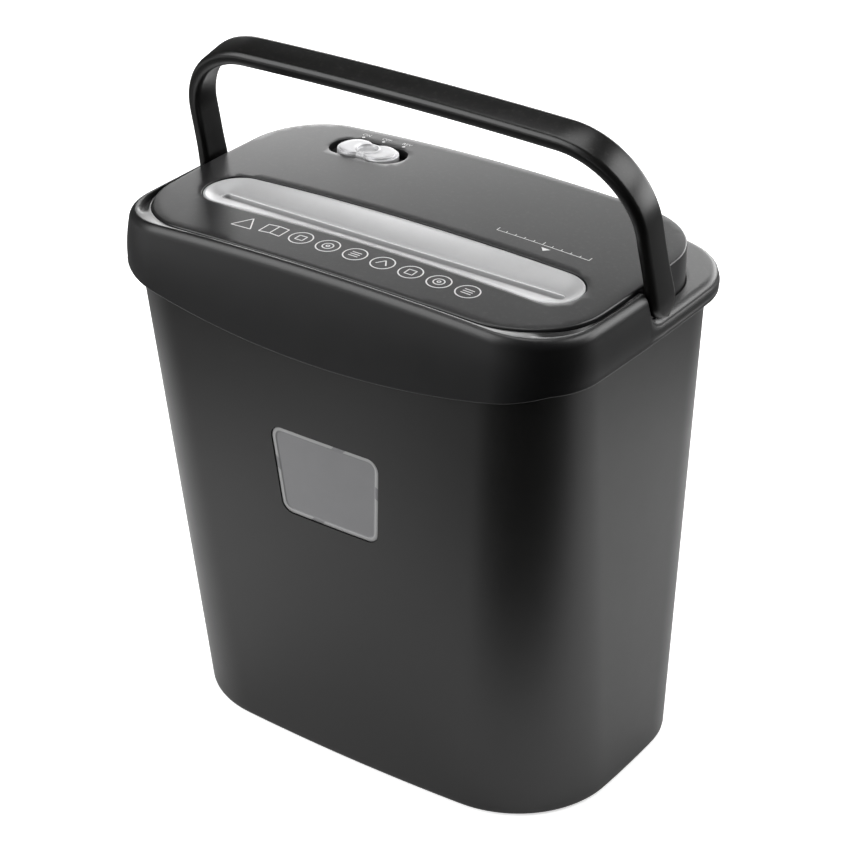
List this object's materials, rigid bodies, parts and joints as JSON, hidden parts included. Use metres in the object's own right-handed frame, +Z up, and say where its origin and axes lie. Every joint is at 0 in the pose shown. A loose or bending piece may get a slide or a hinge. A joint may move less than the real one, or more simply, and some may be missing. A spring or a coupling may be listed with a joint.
{
  "type": "paper shredder",
  "caption": "Desktop paper shredder: tapered waste bin with a window, and a lift-off head with feed slot, interleaved cutting rollers, slide switch and folding handle.",
  "frame": {"origin": "centre of the footprint, on the floor under the bin's foot ring", "axes": "+Z up, -Y towards the front where the window is, +X along the feed slot to the right seen from the front"},
  "size_m": [0.3004, 0.1988, 0.3993],
  "materials": {
    "bin_plastic": "satin",
    "window_plastic": "frosted",
    "collar_plastic": "satin",
    "deck_plastic": "fine texture",
    "feed_silver": "satin",
    "knob_silver": "satin",
    "guide_plastic": "satin",
    "tray_plastic": "satin",
    "handle_plastic": "satin",
    "cutter_steel": "oiled",
    "gear_steel": "sintered",
    "gear_nylon": "satin",
    "plate_steel": "zinc plated",
    "bushing_bronze": "sintered",
    "comb_plastic": "satin",
    "motor_steel": "plain",
    "shaft_steel": "ground",
    "board": "solder mask",
    "board_black": "satin",
    "switch_plastic": "satin",
    "lever_plastic": "satin"
  },
  "bodies": {
    "bin": {"bin": "bin_plastic", "bin_window": "window_plastic"},
    "head": {"collar": "collar_plastic", "top_cover": "deck_plastic", "feed_plate": "feed_silver", "paper_guide": "guide_plastic", "base_tray": "tray_plastic", "left_side_plate": "plate_steel", "right_side_plate": "plate_steel", "tie_rods": "plate_steel", "cutter_bushings": "bushing_bronze", "gear_studs": "shaft_steel", "front_stripper": "comb_plastic", "rear_stripper": "comb_plastic", "motor_case": "motor_steel", "circuit_board": "board", "board_parts": "board_black", "mode_switch": "switch_plastic", "start_switch": "switch_plastic", "interlock_switch": "switch_plastic"},
    "handle": {"handle": "handle_plastic", "handle_pins": "shaft_steel"},
    "mode_knob": {"mode_knob": "knob_silver"},
    "start_lever": {"start_lever": "lever_plastic"},
    "interlock_plunger": {"interlock_plunger": "lever_plastic"},
    "front_cutter": {"front_cutter": "cutter_steel", "front_cutter_gear": "gear_steel"},
    "rear_cutter": {"rear_cutter": "cutter_steel", "rear_cutter_gear": "gear_steel", "rear_drive_gear": "gear_steel"},
    "second_gear": {"second_stage_gear": "gear_nylon"},
    "first_gear": {"first_stage_gear": "gear_nylon"},
    "motor_rotor": {"motor_shaft": "shaft_steel", "motor_pinion": "gear_steel"}
  },
  "joints": [
    {"name": "head_lift", "type": "slide", "parent": "bin", "child": "head", "axis": [0, 0, 1], "range_m": [0, 0.12]},
    {"name": "handle_swing", "type": "hinge", "parent": "head", "child": "handle", "pos_m": [0, 0.004, 0.306], "axis": [1, 0, 0], "range_deg": [-104, 0]},
    {"name": "mode_slide", "type": "slide", "parent": "head", "child": "mode_knob", "axis": [1, 0, 0], "range_m": [-0.0052, 0.0052]},
    {"name": "start_lever_swing", "type": "hinge", "parent": "head", "child": "start_lever", "pos_m": [0, -0.02, 0.2965], "axis": [1, 0, 0], "range_deg": [0, 20], "stiffness_Nm_per_rad": 0.004, "springref_deg": -11.46},
    {"name": "interlock_press", "type": "slide", "parent": "head", "child": "interlock_plunger", "axis": [0, 0, 1], "range_m": [0, 0.003], "stiffness_N_per_m": 120, "springref_m": -0.002},
    {"name": "rear_cutter_spin", "type": "hinge", "parent": "head", "child": "rear_cutter", "pos_m": [0, -0.018, 0.268], "axis": [1, 0, 0], "continuous": true},
    {"name": "front_cutter_spin", "type": "hinge", "parent": "head", "child": "front_cutter", "pos_m": [0, -0.048, 0.268], "axis": [1, 0, 0], "continuous": true},
    {"name": "second_gear_spin", "type": "hinge", "parent": "head", "child": "second_gear", "pos_m": [0, 0.012, 0.268], "axis": [1, 0, 0], "continuous": true},
    {"name": "first_gear_spin", "type": "hinge", "parent": "head", "child": "first_gear", "pos_m": [0, 0.04123, 0.28487], "axis": [1, 0, 0], "continuous": true},
    {"name": "motor_spin", "type": "hinge", "parent": "head", "child": "motor_rotor", "pos_m": [0, 0.0337, 0.2642], "axis": [1, 0, 0], "continuous": true}
  ],
  "couplings": [
    {"joint": "front_cutter_spin", "follows": "rear_cutter_spin", "ratio": -1},
    {"joint": "second_gear_spin", "follows": "rear_cutter_spin", "ratio": -3},
    {"joint": "first_gear_spin", "follows": "rear_cutter_spin", "ratio": 8.5714},
    {"joint": "motor_spin", "follows": "rear_cutter_spin", "ratio": -22.857}
  ]
}
